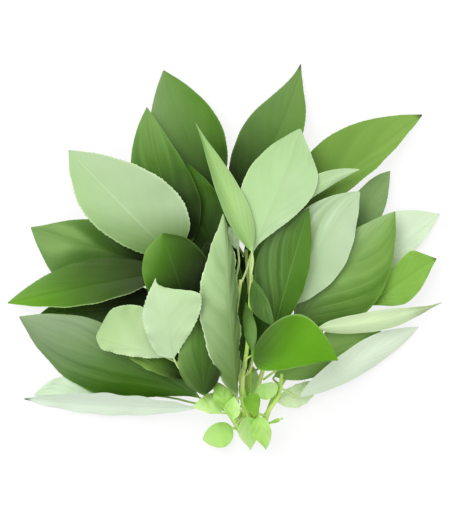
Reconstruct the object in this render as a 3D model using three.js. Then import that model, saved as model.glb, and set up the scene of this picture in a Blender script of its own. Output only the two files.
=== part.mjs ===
// A cut bunch of jute mallow (molokhia) lying on a table, seen from above.
// Millimetres. The table is z = 0, the stem ends point to -Y and the leaf tips fan out to +Y and both sides.
import * as THREE from 'three';

const stationsInBlade = 11;
const stationsInPetiole = 4;
const bladeHalfThickness = 0.4;
const midribHalfThickness = 0.85;
const petioleRadius = 0.95;
const stemRadiusAtCut = 2.0;
const stemRadiusAtTop = 1.3;
const stemSides = 8;
const stemStations = 11;
const gapAtStem = 0.3;
const edgeWave = 1.0;
const wavesAlongEdge = 2.3;
const halfwayDip = 0.33;
const usualArch = 4;
const usualPeak = 0.42;
const usualBlunt = 0.65;
const usualPoint = 0.92;

const faces = {
  upper: { color: 0x5f8f45, roughness: 0.5 },
  bright: { color: 0x6cae24, roughness: 0.45 },
  young: { color: 0x9fce78, roughness: 0.6 },
  under: { color: 0xb4d79c, roughness: 0.7 },
  shoot: { color: 0x9ed46c, roughness: 0.6 },
  stem: { color: 0xb7d97a, roughness: 0.55 },
};

// Each stem runs from its cut end to its top.
const stems = {
  stem_left_outer: [[12.5, -137, 2.4], [-4, -108, 10], [-24, -72, 16], [-40, -38, 20]],
  stem_left_inner: [[17, -138, 2.4], [4, -100, 9], [-4, -56, 16], [-11, 0, 19]],
  stem_back: [[21.5, -138, 2.4], [18, -100, 5], [19, -50, 7], [15, 5, 9]],
  stem_right_outer: [[26, -137, 2.4], [38, -104, 5], [58, -76, 8], [86, -50, 11]],
  stem_left_low: [[14.7, -136, 6.7], [2, -118, 16], [-12, -106, 22], [-28, -98, 24]],
  stem_bud: [[19.2, -136, 6.7], [13, -104, 20], [6, -60, 36], [11, -18, 54]],
  stem_right_inner: [[23.7, -137, 6.7], [24, -102, 13], [34, -66, 20], [46, -10, 22]],
  stem_left_top: [[12.8, -136, 11], [0, -110, 25], [-17, -82, 36], [-30, -25, 44]],
  stem_front: [[17.2, -136, 11], [12, -100, 30], [16, -66, 46], [19, -14, 55]],
  stem_right_low: [[22, -134, 11], [31, -119, 17], [40, -104, 20], [42, -89, 20.5]],
};

// Base is where the blade begins, tip where it ends. Left and right are the half widths seen from above,
// looking from base to tip, and peaks are where they are reached. A low blunt value makes a margin round
// at the base, a high point value draws it out at the tip. Lifts raise the margins above the midrib.
const leaves = {
  leaf_top_right: {
    stem: 'stem_back', at: 0.97, face: 'upper', base: [9, 46, 8], tip: [57, 147, 1], bow: -8, arch: 6,
    left: 27, right: 17, peakLeft: 0.42, peakRight: 0.5, bluntLeft: 0.4, pointLeft: 1.35, pointRight: 1.5,
    liftLeft: 4, liftRight: 5,
  },
  leaf_top_left: {
    stem: 'stem_left_inner', at: 0.99, face: 'upper', base: [-12, 38, 14], tip: [-48, 142, 1],
    arch: 5, left: 29, right: 28, peakRight: 0.46, liftLeft: 5, liftRight: 4,
  },
  leaf_behind_crown: {
    stem: 'stem_left_inner', at: 0.8, face: 'upper', base: [-4, -12, 24], tip: [-29, 70, 23],
    left: 15, right: 20, peakLeft: 0.38, peakRight: 0.38, liftLeft: 2, liftRight: 3,
  },
  leaf_upper_left: {
    stem: 'stem_left_inner', at: 0.88, face: 'upper', base: [-26, 10, 32], tip: [-60, 113, 17],
    bow: 6, arch: 5, left: 23, right: 22, peakRight: 0.32, liftLeft: 2, liftRight: 3,
  },
  leaf_left: {
    stem: 'stem_left_outer', at: 0.95, face: 'upper', base: [-50, -9, 26], tip: [-149, 22, 6],
    left: 37, right: 20, peakLeft: 0.52, peakRight: 0.5, pointRight: 1.2, liftLeft: -2, liftRight: 3,
  },
  leaf_bright_left: {
    stem: 'stem_left_outer', at: 0.8, face: 'bright', base: [-46, -12, 38], tip: [-167, -36, 5],
    left: 13, right: 20, peakLeft: 0.45, peakRight: 0.47, liftLeft: 5, liftRight: 4,
  },
  leaf_pale_left: {
    stem: 'stem_left_top', at: 0.98, face: 'under', base: [-38, -3, 52], tip: [-119, 80, 24], arch: 8,
    left: 25, right: 36, peakLeft: 0.56, peakRight: 0.32, bluntLeft: 0.8, bluntRight: 0.4,
    liftLeft: -3, liftRight: -4,
  },
  leaf_shadow_left: {
    stem: 'stem_left_outer', at: 0.7, face: 'upper', base: [-46, -37, 16], tip: [-142, -44, 2],
    left: 12, right: 21, arch: 2, liftLeft: 2, liftRight: 2,
  },
  leaf_inner_left: {
    stem: 'stem_left_top', at: 0.75, face: 'upper', base: [-23, -56, 46], tip: [-47, 17, 62],
    left: 24, right: 26, peakLeft: 0.6, peakRight: 0.55, pointLeft: 0.5, pointRight: 0.55,
    liftLeft: 4, liftRight: 2,
  },
  leaf_shadow_centre: {
    stem: 'stem_left_inner', at: 0.5, face: 'upper', base: [-1, -50, 30], tip: [-14, 12, 40],
    left: 17, right: 14, peakLeft: 0.5, peakRight: 0.5, liftLeft: 2, liftRight: 2,
  },
  leaf_shadow_slot: {
    stem: 'stem_back', at: 0.3, face: 'upper', base: [13, -92, 12], tip: [9, -4, 32],
    left: 7, right: 9, liftLeft: 2, liftRight: 2,
  },
  leaf_back_left: {
    stem: 'stem_back', at: 0.52, face: 'upper', base: [8, -48, 5.2], tip: [-34, 44, 5.2],
    left: 22, right: 24, arch: 0, liftLeft: 0, liftRight: 0,
  },
  leaf_back_centre: {
    stem: 'stem_back', at: 0.42, face: 'upper', base: [27, -82, 2.2], tip: [22, 44, 2.2],
    left: 13, right: 20, arch: 0, liftLeft: 0, liftRight: 0,
  },
  leaf_lower_left: {
    stem: 'stem_left_low', at: 0.45, face: 'upper', base: [-21, -106, 28], tip: [-158, -46, 6],
    left: 30, right: 22, peakLeft: 0.55, peakRight: 0.58, bluntLeft: 1.3, liftLeft: -13, liftRight: 6,
  },
  leaf_olive_left: {
    stem: 'stem_left_top', at: 0.52, face: 'upper', base: [-30, -92, 34], tip: [-81, -70, 32],
    left: 5, right: 16, peakRight: 0.3, liftLeft: 2, liftRight: 0,
  },
  leaf_pale_curled: {
    stem: 'stem_left_top', at: 0.62, face: 'under', base: [-46, -75, 44], tip: [-98, -60, 32],
    left: 8, right: 31, peakLeft: 0.8, peakRight: 0.5, pointLeft: 0.3, pointRight: 0.32, arch: 6,
    liftLeft: -2, liftRight: 2,
  },
  leaf_pale_upright: {
    stem: 'stem_left_top', at: 0.55, face: 'under', base: [-39, -76, 51], tip: [-52, -16, 66],
    left: 15.5, right: 30, peakLeft: 0.5, peakRight: 0.7, bluntLeft: 0.3, bluntRight: 1.05,
    pointLeft: 1.1, pointRight: 5, liftLeft: 2, liftRight: 4,
  },
  leaf_dark_inner: {
    stem: 'stem_left_top', at: 0.46, face: 'upper', base: [-16, -104, 42], tip: [-20, -44, 52],
    left: 18, right: 15, peakLeft: 0.4, liftLeft: 2, liftRight: 2,
  },
  leaf_floor_far_left: {
    stem: 'stem_left_low', at: 0.5, face: 'under', base: [-57, -106, 5], tip: [-147, -106, 2],
    left: 4, right: 14, peakRight: 0.74, arch: 1, liftLeft: 1, liftRight: 2,
  },
  leaf_floor_left: {
    stem: 'stem_left_low', at: 0.62, face: 'under', base: [-25, -115, 15], tip: [-155, -109, 1],
    left: 9, right: 9, peakLeft: 0.52, peakRight: 0.52, arch: 3, liftLeft: -5, liftRight: 26,
  },
  leaf_front_long: {
    stem: 'stem_front', at: 0.3, face: 'under', base: [8, -104, 46], tip: [-2, 32, 70], arch: 8,
    left: 22.5, right: 6.5, peakLeft: 0.48, peakRight: 0.6, pointLeft: 1.15, liftLeft: -6, liftRight: -8,
  },
  leaf_crown_narrow: {
    stem: 'stem_front', at: 0.98, face: 'young', base: [19, 4, 64], tip: [-23, 100, 46],
    left: 7.5, right: 11.5, peakLeft: 0.28, peakRight: 0.3, pointLeft: 1.5, pointRight: 1.3,
    liftLeft: 8, liftRight: -7,
  },
  leaf_crown_broad: {
    stem: 'stem_front', at: 0.9, face: 'under', base: [20, 4, 56], tip: [56, 96, 38],
    left: 25.5, right: 27, peakLeft: 0.48, peakRight: 0.62, bluntRight: 1.35, pointRight: 1.25,
    liftLeft: -3, liftRight: -3,
  },
  leaf_crown_right: {
    stem: 'stem_bud', at: 0.98, face: 'under', base: [24, 12, 44], tip: [101, 65, 38],
    bow: 8, arch: 2, left: 9, right: 5, peakLeft: 0.6, peakRight: 0.5, liftLeft: 2, liftRight: -3,
  },
  leaf_upper_right: {
    stem: 'stem_right_inner', at: 0.98, face: 'upper', base: [53, 32, 20], tip: [150, 108, 1],
    arch: 7, left: 31, right: 11, peakLeft: 0.4, peakRight: 0.4, bluntLeft: 0.45, liftLeft: 3, liftRight: 4,
  },
  leaf_small_right: {
    stem: 'stem_right_outer', at: 0.97, face: 'upper', base: [82, 4, 12], tip: [125, 65, 6],
    left: 12, right: 14.5, peakLeft: 0.5, peakRight: 0.5, pointLeft: 0.65, pointRight: 1.05,
    arch: 2, liftLeft: 2, liftRight: 2,
  },
  leaf_far_right: {
    stem: 'stem_right_outer', at: 0.86, face: 'under', base: [93, -22, 7], tip: [163, 32, 2],
    left: 26, right: 12, peakLeft: 0.55, arch: 2, liftLeft: 1, liftRight: 1,
  },
  leaf_bright_right: {
    stem: 'stem_right_outer', at: 0.76, face: 'bright', base: [104, -39, 15], tip: [160, -2, 10],
    left: 16, right: 15, peakLeft: 0.8, peakRight: 0.45, bluntLeft: 1.5, bluntRight: 1.7,
    pointLeft: 1.6, pointRight: 1.2, liftLeft: 2, liftRight: 2,
  },
  leaf_broad_right: {
    stem: 'stem_right_inner', at: 0.55, face: 'upper', base: [52, -50, 29], tip: [128, 34, 18],
    left: 20, right: 35, peakRight: 0.42, liftLeft: 3, liftRight: -3,
  },
  leaf_pale_right: {
    stem: 'stem_right_inner', at: 0.68, face: 'under', base: [46, -37, 36], tip: [101, 49, 30],
    bow: 5, left: 26, right: 25, peakLeft: 0.5, peakRight: 0.44, liftLeft: 3, liftRight: -4,
  },
  leaf_striped_right: {
    stem: 'stem_right_inner', at: 0.5, face: 'upper', base: [36, -55, 40], tip: [62, 36, 42],
    left: 27, right: 13, peakLeft: 0.5, liftLeft: 3, liftRight: 3,
  },
  leaf_thin_right: {
    stem: 'stem_right_inner', at: 0.42, face: 'under', base: [70, -54, 34], tip: [164, -35, 16], bow: -4,
    left: 8.5, right: 7.5, peakLeft: 0.45, peakRight: 0.5, bluntLeft: 0.4, bluntRight: 0.4,
    pointLeft: 1.6, pointRight: 1.4, liftLeft: 6, liftRight: -10,
  },
  leaf_shadow_right: {
    stem: 'stem_right_outer', at: 0.4, face: 'upper', base: [37, -91, 15], tip: [118, -57, 11],
    left: 16, right: 13, peakRight: 0.38, arch: 2, liftLeft: 2, liftRight: -2,
  },
  leaf_floor_right: {
    stem: 'stem_right_low', at: 0.75, face: 'under', base: [56, -106, 18], tip: [147, -54, 1],
    left: 13.5, right: 9.5, peakLeft: 0.6, peakRight: 0.45, pointRight: 0.75, liftLeft: 8, liftRight: -6,
  },
  leaf_floor_inner_right: {
    stem: 'stem_right_low', at: 0.42, face: 'under', base: [38, -110, 13], tip: [72, -94, 8],
    left: 5, right: 12, arch: 1, liftLeft: 1, liftRight: -4,
  },
  leaf_bright_front: {
    stem: 'stem_front', at: 0.5, face: 'bright', base: [19, -74, 55], tip: [84, -78, 44],
    left: 33, right: 10.5, peakLeft: 0.5, peakRight: 0.14, bluntRight: 0.4, pointRight: 1.8,
    liftLeft: -1, liftRight: 4,
  },
  leaf_slim_centre: {
    stem: 'stem_front', at: 0.85, face: 'upper', base: [20, -18, 62], tip: [36, -52, 52],
    left: 4, right: 10, peakRight: 0.52, bluntRight: 0.8, arch: 2, liftLeft: 1, liftRight: 6,
  },
  leaf_slim_folded: {
    stem: 'stem_front', at: 0.45, face: 'upper', base: [19.5, -70, 51], tip: [14.5, -34, 54],
    left: 4.5, right: 5.5, arch: 1, liftLeft: -1, liftRight: -1,
  },
  bud_leaf_centre: {
    stem: 'stem_bud', at: 0.93, face: 'under', base: [9, 5, 56], tip: [2, 22, 56],
    left: 3.5, right: 3.5, arch: 1, liftLeft: 1, liftRight: 1,
  },
  leaflet_bottom_left: {
    stem: 'stem_left_outer', at: 0.08, face: 'shoot', base: [5, -131, 8], tip: [-18, -140, 4],
    left: 11, right: 8.5, bluntLeft: 0.5, bluntRight: 0.45, pointLeft: 0.7, pointRight: 0.7,
    arch: 4, liftLeft: -1, liftRight: 1,
  },
  leaflet_cut_left: {
    stem: 'stem_front', at: 0.2, face: 'shoot', base: [16, -121, 25], tip: [18.5, -148, 8],
    left: 7.5, right: 8, peakLeft: 0.45, peakRight: 0.45, bluntLeft: 0.4, bluntRight: 0.5, pointLeft: 1.3,
    pointRight: 1.5, arch: 2, liftLeft: 1, liftRight: 1,
  },
  leaflet_cut_right: {
    stem: 'stem_right_low', at: 0.3, face: 'shoot', base: [25, -121, 29], tip: [30, -147, 14],
    left: 7, right: 7.5, peakLeft: 0.45, peakRight: 0.4, bluntLeft: 0.4, bluntRight: 0.4, pointRight: 1.4,
    arch: 2, liftLeft: 1, liftRight: 1,
  },
  leaflet_cut_side: {
    stem: 'stem_right_low', at: 0.22, face: 'shoot', base: [33, -126, 22], tip: [44, -122, 22],
    left: 1.4, right: 1.6, arch: 1, liftLeft: 0, liftRight: 0,
  },
  leaflet_kite: {
    stem: 'stem_front', at: 0.15, face: 'shoot', base: [5.5, -122, 40], tip: [6, -105, 40],
    left: 7, right: 5.2, peakLeft: 0.45, peakRight: 0.4, arch: 1, liftLeft: 1, liftRight: 1,
  },
  leaflet_dark: {
    stem: 'stem_bud', at: 0.25, face: 'bright', base: [18.5, -104, 33], tip: [22, -121, 32],
    left: 6.5, right: 6.5, peakLeft: 0.2, peakRight: 0.2, bluntLeft: 0.35, bluntRight: 0.35,
    arch: 1, liftLeft: 1, liftRight: 1,
  },
  leaflet_round: {
    stem: 'stem_right_inner', at: 0.24, face: 'shoot', base: [22.5, -103, 22], tip: [39, -97, 26],
    left: 4.5, right: 8, bluntLeft: 0.4, bluntRight: 0.4, pointLeft: 0.5, pointRight: 0.5,
    arch: 1, liftLeft: 1, liftRight: 1,
  },
  leaflet_wedge: {
    stem: 'stem_left_low', at: 0.38, face: 'shoot', base: [-3, -118, 30], tip: [-25, -113, 32],
    left: 2.5, right: 13, peakRight: 0.45, arch: 1, liftLeft: 1, liftRight: 1,
  },
  leaflet_wedge_inner: {
    stem: 'stem_left_top', at: 0.22, face: 'shoot', base: [1, -114, 36], tip: [-7, -94, 40],
    left: 7, right: 7, arch: 1, liftLeft: 0, liftRight: 0,
  },
  leaflet_table_left: {
    stem: 'stem_left_inner', at: 0.12, face: 'shoot', base: [8, -120, 1.9], tip: [-8, -98, 1.6],
    left: 8, right: 8, arch: 0, liftLeft: 0, liftRight: 0,
  },
  leaflet_table_centre: {
    stem: 'stem_left_inner', at: 0.2, face: 'shoot', base: [15, -113, 1.6], tip: [21, -84, 1.6],
    left: 8, right: 9, arch: 0, liftLeft: 0, liftRight: 0,
  },
};

const usualLeaf = {
  bow: 0, arch: usualArch, peakLeft: usualPeak, peakRight: usualPeak,
  bluntLeft: usualBlunt, bluntRight: usualBlunt, pointLeft: usualPoint, pointRight: usualPoint,
};

// What one margin of a leaf does, its left one or its right one.
function marginOf(leaf, side) {
  return {
    width: leaf[side.toLowerCase()], peak: leaf[`peak${side}`], blunt: leaf[`blunt${side}`],
    point: leaf[`point${side}`], lift: leaf[`lift${side}`],
  };
}

function stemCurve(name) {
  return new THREE.CatmullRomCurve3(stems[name].map((p) => new THREE.Vector3(...p)));
}

function stemRadius(along) {
  return THREE.MathUtils.lerp(stemRadiusAtCut, stemRadiusAtTop, along);
}

// Share of the full half width at a place along the blade.
function widthShare(along, margin) {
  const rising = along < margin.peak;
  const climb = rising ? along / margin.peak : (1 - along) / (1 - margin.peak);
  return Math.sin((Math.PI / 2) * climb) ** (rising ? margin.blunt : margin.point);
}

function midribPoint(leaf, along) {
  const base = new THREE.Vector3(...leaf.base);
  const tip = new THREE.Vector3(...leaf.tip);
  const forward = tip.clone().sub(base);
  const leftward = new THREE.Vector3(-forward.y, forward.x, 0).normalize();
  const belly = 4 * along * (1 - along);
  const point = base.lerp(tip, along).addScaledVector(leftward, leaf.bow * belly);
  point.z += leaf.arch * belly;
  return point;
}

// The petiole leaves the stem just clear of it and runs into the midrib.
function petiolePoints(leaf) {
  const curve = stemCurve(leaf.stem);
  const joint = curve.getPoint(leaf.at);
  const stemwise = curve.getTangent(leaf.at);
  const base = new THREE.Vector3(...leaf.base);
  const toBase = base.clone().sub(joint);
  const reach = toBase.length();
  const outward = toBase.clone().addScaledVector(stemwise, -toBase.dot(stemwise)).normalize();
  const leaving = outward.clone().addScaledVector(toBase, 1 / reach).normalize();
  const lean = leaving.dot(stemwise);
  const clear = stemRadius(leaf.at) + gapAtStem + petioleRadius * Math.abs(lean);
  const start = joint.clone().addScaledVector(outward, clear);
  const entering = midribPoint(leaf, 0.05).sub(base).normalize();
  const curveToBlade = new THREE.CubicBezierCurve3(
    start,
    start.clone().addScaledVector(leaving, reach / 3),
    base.clone().addScaledVector(entering, -reach / 3),
    base,
  );
  return curveToBlade.getPoints(stationsInPetiole - 1);
}

function sideways(direction) {
  return new THREE.Vector3(direction.y, -direction.x, 0).normalize();
}

// Ring order: left margin, over the top, right margin, back underneath.
function petioleRing(centre, direction) {
  const right = sideways(direction);
  const up = right.clone().cross(direction).normalize();
  const ring = [];
  for (let side = 0; side < 8; side += 1) {
    const angle = Math.PI - (side * Math.PI) / 4;
    ring.push(
      centre.clone()
        .addScaledVector(right, petioleRadius * Math.cos(angle))
        .addScaledVector(up, petioleRadius * Math.sin(angle)),
    );
  }
  return ring;
}

function marginWave(along, share, phase) {
  return edgeWave * share * Math.sin(2 * Math.PI * wavesAlongEdge * along + phase);
}

// Five points of the blade's middle surface at one station, from the left margin to the right.
function bladeRow(leaf, along, phase) {
  const centre = midribPoint(leaf, along);
  const direction = midribPoint(leaf, along + 0.01).sub(midribPoint(leaf, along - 0.01));
  const right = sideways(direction);
  const row = [];
  for (const across of [-1, -0.5, 0, 0.5, 1]) {
    const margin = marginOf(leaf, across < 0 ? 'Left' : 'Right');
    const share = widthShare(along, margin);
    const raised = Math.abs(across) === 1 ? 1 : halfwayDip;
    const wave = Math.abs(across) * marginWave(along, share, phase + across);
    const point = centre.clone().addScaledVector(right, margin.width * share * across);
    point.z += across === 0 ? 0 : margin.lift * share * raised + wave;
    row.push(point);
  }
  return row;
}

function surfaceNormal(rows, station, column) {
  const before = rows[Math.max(station - 1, 0)][column];
  const after = rows[Math.min(station + 1, rows.length - 1)][column];
  const left = rows[station][Math.max(column - 1, 0)];
  const right = rows[station][Math.min(column + 1, 4)];
  return right.clone().sub(left).cross(after.clone().sub(before)).normalize();
}

function bladeRing(rows, station, along) {
  const row = rows[station];
  const over = [];
  const under = [];
  for (const column of [1, 2, 3]) {
    const normal = surfaceNormal(rows, station, column);
    const rib = THREE.MathUtils.lerp(midribHalfThickness, bladeHalfThickness, along);
    const half = column === 2 ? rib : bladeHalfThickness;
    over.push(row[column].clone().addScaledVector(normal, half));
    under.push(row[column].clone().addScaledVector(normal, -half));
  }
  return [row[0], ...over, row[4], ...under.reverse()];
}

// Closed skin over rings of equal count, with a point at each end.
function skin(firstPole, rings, lastPole) {
  const count = rings[0].length;
  const points = [firstPole, ...rings.flat(), lastPole];
  const last = points.length - 1;
  const faceList = [];
  for (let side = 0; side < count; side += 1) {
    const next = (side + 1) % count;
    faceList.push([0, 1 + next, 1 + side]);
    for (let ring = 0; ring < rings.length - 1; ring += 1) {
      const here = 1 + ring * count;
      const there = here + count;
      faceList.push([here + side, here + next, there + next], [here + side, there + next, there + side]);
    }
    const end = 1 + (rings.length - 1) * count;
    faceList.push([last, end + side, end + next]);
  }
  const geometry = new THREE.BufferGeometry();
  geometry.setAttribute('position', new THREE.Float32BufferAttribute(points.flatMap((p) => p.toArray()), 3));
  geometry.setIndex(faceList.flat());
  geometry.computeVertexNormals();
  return geometry;
}

function leafGeometry(leaf, phase) {
  const petiole = petiolePoints(leaf);
  const bladeStart = midribPoint(leaf, 0.05);
  const path = [...petiole, bladeStart];
  const rings = petiole.map((point, index) => {
    const before = path[Math.max(index - 1, 0)];
    return petioleRing(point, path[index + 1].clone().sub(before));
  });
  const places = [];
  for (let station = 1; station <= stationsInBlade; station += 1) {
    places.push((station / (stationsInBlade + 1)) ** 1.1);
  }
  const rows = places.map((along) => bladeRow(leaf, along, phase));
  const bladeRings = rows.map((_, station) => bladeRing(rows, station, places[station]));
  return skin(petiole[0], [...rings, ...bladeRings], midribPoint(leaf, 1));
}

function stemGeometry(name) {
  const curve = stemCurve(name);
  const rings = [];
  for (let station = 0; station <= stemStations; station += 1) {
    const along = station / stemStations;
    const centre = curve.getPoint(along);
    const right = sideways(curve.getTangent(along));
    const up = right.clone().cross(curve.getTangent(along)).normalize();
    const ring = [];
    for (let side = 0; side < stemSides; side += 1) {
      const angle = Math.PI - (2 * Math.PI * side) / stemSides;
      ring.push(
        centre.clone()
          .addScaledVector(right, stemRadius(along) * Math.cos(angle))
          .addScaledVector(up, stemRadius(along) * Math.sin(angle)),
      );
    }
    rings.push(ring);
  }
  return skin(curve.getPoint(0), rings, curve.getPoint(1));
}

function addPiece(bunch, name, geometry, face) {
  const mesh = new THREE.Mesh(geometry, new THREE.MeshStandardMaterial({ ...faces[face], metalness: 0 }));
  mesh.name = name;
  bunch.add(mesh);
}

// The lowest point touches the table and the middle of the bunch stands over the origin.
function putOnTable(bunch) {
  const box = new THREE.Box3().setFromObject(bunch);
  const middle = box.getCenter(new THREE.Vector3());
  for (const mesh of bunch.children) {
    mesh.geometry.translate(-middle.x, -middle.y, -box.min.z);
  }
}

const bunch = new THREE.Group();
bunch.name = 'jute_leaf';
for (const name of Object.keys(stems)) {
  addPiece(bunch, name, stemGeometry(name), 'stem');
}
Object.entries(leaves).forEach(([name, leaf], index) => {
  addPiece(bunch, name, leafGeometry({ ...usualLeaf, ...leaf }, index), leaf.face);
});

putOnTable(bunch);

export default bunch;
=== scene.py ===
import math

import bmesh
import bpy
import numpy as np
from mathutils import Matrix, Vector


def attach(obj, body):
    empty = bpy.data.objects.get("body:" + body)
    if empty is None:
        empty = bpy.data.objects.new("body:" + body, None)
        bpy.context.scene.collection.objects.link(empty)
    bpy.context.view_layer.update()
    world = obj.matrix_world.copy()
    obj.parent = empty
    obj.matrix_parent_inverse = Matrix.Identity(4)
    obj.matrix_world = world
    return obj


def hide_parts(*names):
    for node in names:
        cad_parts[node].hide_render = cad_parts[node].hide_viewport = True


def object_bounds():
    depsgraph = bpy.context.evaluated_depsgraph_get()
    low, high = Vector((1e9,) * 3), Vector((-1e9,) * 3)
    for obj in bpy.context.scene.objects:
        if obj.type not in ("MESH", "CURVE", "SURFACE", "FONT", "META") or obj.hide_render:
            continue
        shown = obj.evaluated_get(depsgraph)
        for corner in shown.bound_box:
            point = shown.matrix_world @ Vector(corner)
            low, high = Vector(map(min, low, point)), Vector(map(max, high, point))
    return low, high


# A cut bunch of jute mallow lying on a table, seen from above. Metres, +Z up.
# Every leaf and stem is grown over its node of the frame, so its place comes from there.

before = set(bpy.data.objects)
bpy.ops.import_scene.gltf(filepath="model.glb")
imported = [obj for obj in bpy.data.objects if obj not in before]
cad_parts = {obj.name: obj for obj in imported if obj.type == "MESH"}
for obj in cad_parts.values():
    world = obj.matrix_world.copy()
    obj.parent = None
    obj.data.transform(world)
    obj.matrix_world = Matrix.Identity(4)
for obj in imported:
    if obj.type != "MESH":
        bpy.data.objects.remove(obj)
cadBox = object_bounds()
print("frame loaded:", len(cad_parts), "nodes")


def feed(tree, socket, value):
    if isinstance(value, bpy.types.NodeSocket):
        tree.links.new(value, socket)
    else:
        socket.default_value = value


def addNode(tree, kind, inputs=None, **settings):
    node = tree.nodes.new(kind)
    for name, value in settings.items():
        setattr(node, name, value)
    for name, value in (inputs or {}).items():
        feed(tree, node.inputs[name], value)
    return node


def calc(tree, operation, *values, clamp=False):
    node = tree.nodes.new("ShaderNodeMath")
    node.operation = operation
    node.use_clamp = clamp
    for socket, value in zip(node.inputs, values):
        feed(tree, socket, value)
    return node.outputs[0]


def times(tree, product, *others):
    for other in others:
        product = calc(tree, "MULTIPLY", product, other)
    return product


def addTimes(tree, base, one, other, clamp=False):  # base + one * other
    return calc(tree, "MULTIPLY_ADD", one, other, base, clamp=clamp)


def ease(tree, value, low, high):  # 0 before low, 1 past high, smooth between; high may be the smaller
    node = addNode(tree, "ShaderNodeMapRange", interpolation_type="SMOOTHSTEP")
    feed(tree, node.inputs["Value"], value)
    feed(tree, node.inputs["From Min"], low)
    feed(tree, node.inputs["From Max"], high)
    return node.outputs["Result"]


def ramp(tree, value, low, high, atLow, atHigh):
    return addNode(tree, "ShaderNodeMapRange", {
        "Value": value, "From Min": low, "From Max": high,
        "To Min": atLow, "To Max": atHigh}).outputs["Result"]


def noise(tree, inputs, **settings):
    return addNode(tree, "ShaderNodeTexNoise", inputs, **settings).outputs["Fac"]


def scaled(tree, vector, length):
    inputs = {0: vector, "Scale": length}
    return addNode(tree, "ShaderNodeVectorMath", inputs, operation="SCALE").outputs[0]


def newTree(name, kind, inputs, outputs):
    tree = bpy.data.node_groups.new(name, kind)
    for label, socketType, value in inputs:
        socket = tree.interface.new_socket(label, in_out="INPUT", socket_type=socketType)
        if value is not None:
            socket.default_value = value
    for label, socketType in outputs:
        tree.interface.new_socket(label, in_out="OUTPUT", socket_type=socketType)
    return tree, tree.nodes.new("NodeGroupInput").outputs, tree.nodes.new("NodeGroupOutput")


# Every node is a closed skin over rings of eight points, with one point at each end.
ringSize = 8
stalkRings = 4
overTop = 2  # places in a leaf's ring, counted from its left margin
rightMargin = 4
underneath = 6


def closedCopy(nodeName):
    mesh = bmesh.new()
    mesh.from_mesh(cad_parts[nodeName].data)
    bmesh.ops.remove_doubles(mesh, verts=mesh.verts, dist=1e-6)
    return mesh


def neighbours(vertex):
    return {edge.other_vert(vertex) for edge in vertex.link_edges}


def firstRing(pole):
    around = neighbours(pole)
    ring = [min(around, key=lambda v: (v.co.x, v.co.y, v.co.z))]
    while len(ring) < len(around):
        following = (neighbours(ring[-1]) & around) - set(ring)
        ring.append(min(following, key=lambda v: (v.co.x, v.co.y, v.co.z)))
    return ring


def nextRing(ring, seen, turn):
    ahead = [neighbours(vertex) - seen for vertex in ring]
    shared = [(ahead[i] & ahead[(i + 1) % ringSize]).pop() for i in range(ringSize)]
    return [shared[(i - turn) % ringSize] for i in range(ringSize)]


def ringsFrom(pole, turn):
    rings = [firstRing(pole)]
    seen = {pole} | set(rings[0])
    while True:
        ahead = set().union(*(neighbours(vertex) for vertex in rings[-1])) - seen
        if len(ahead) == 1:
            return rings, ahead.pop()
        rings.append(nextRing(rings[-1], seen, turn))
        seen |= set(rings[-1])


def twist(rings):
    pairs = [pair for one, two in zip(rings, rings[1:]) for pair in zip(one, two)]
    return sum((a.co - b.co).length for a, b in pairs)


def nodeRings(nodeName):  # rings of one node as arrays of points, and its two end points
    mesh = closedCopy(nodeName)
    pole = next(v for v in mesh.verts if len(v.link_edges) == ringSize)
    walks = [ringsFrom(pole, turn) for turn in (0, 1)]
    rings, farPole = min(walks, key=lambda walk: twist(walk[0]))
    points = np.array([[tuple(v.co) for v in ring] for ring in rings])
    ends = np.array([tuple(pole.co), tuple(farPole.co)])
    mesh.free()
    return points, ends


def ringReach(ring):
    return np.linalg.norm(ring - ring.mean(axis=0), axis=1).max()


def marginPlace(blade):  # the place in the ring whose neighbours to both hands lie closest together
    gaps = []
    for first in range(ringSize // 2):
        hands = [(blade[:, (first + k) % ringSize], blade[:, (first - k) % ringSize]) for k in (1, 2, 3)]
        gaps.append(sum(np.linalg.norm(one - other, axis=1).sum() for one, other in hands))
    return int(np.argmin(gaps))


def leafRings(nodeName):  # stalk to tip; each ring runs left margin, top, right margin, underneath
    rings, ends = nodeRings(nodeName)
    if ringReach(rings[1]) > ringReach(rings[-2]):
        rings, ends = rings[::-1], ends[::-1]
    rings = np.roll(rings, -marginPlace(rings[stalkRings:]), axis=1)
    blade = rings[stalkRings:]
    forward = blade[-1].mean(axis=0) - blade[0].mean(axis=0)
    right = np.array([forward[1], -forward[0], 0.0])
    if ((blade[:, rightMargin] - blade[:, 0]) @ right).sum() < 0:
        rings = np.roll(rings, rightMargin, axis=1)
    if (rings[stalkRings:, overTop, 2] - rings[stalkRings:, underneath, 2]).sum() < 0:
        rings = rings[:, [-place % ringSize for place in range(ringSize)]]
    return rings, ends


def smoothThrough(points, place):  # Catmull-Rom through equally spaced points; place counts in points
    last = len(points) - 1
    index = min(int(place), last - 1)
    t = place - index
    before = points[index - 1] if index > 0 else 2 * points[0] - points[1]
    after = points[index + 2] if index + 2 <= last else 2 * points[last] - points[last - 1]
    here, there = points[index], points[index + 1]
    return 0.5 * (2 * here + (there - before) * t + (2 * before - 5 * here + 4 * there - after) * t ** 2
                  + (3 * here - before - 3 * there + after) * t ** 3)


def middleRows(rings, tip):  # points of the blade's middle surface from margin to margin, base to tip
    rows = [[ring[0], *((ring[k] + ring[-k]) / 2 for k in (1, 2, 3)), ring[rightMargin]]
            for ring in rings[stalkRings - 1:]]
    rows.append([tip] * len(rows[0]))
    return np.array(rows)


cageCells = {"along": 24, "across": 8, "stalk": 8, "tipGap": 0.06}
stalkFoot = -0.2  # "along" at the foot of the stalk; it is 0 at the base of the blade and 1 at its tip


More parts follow.
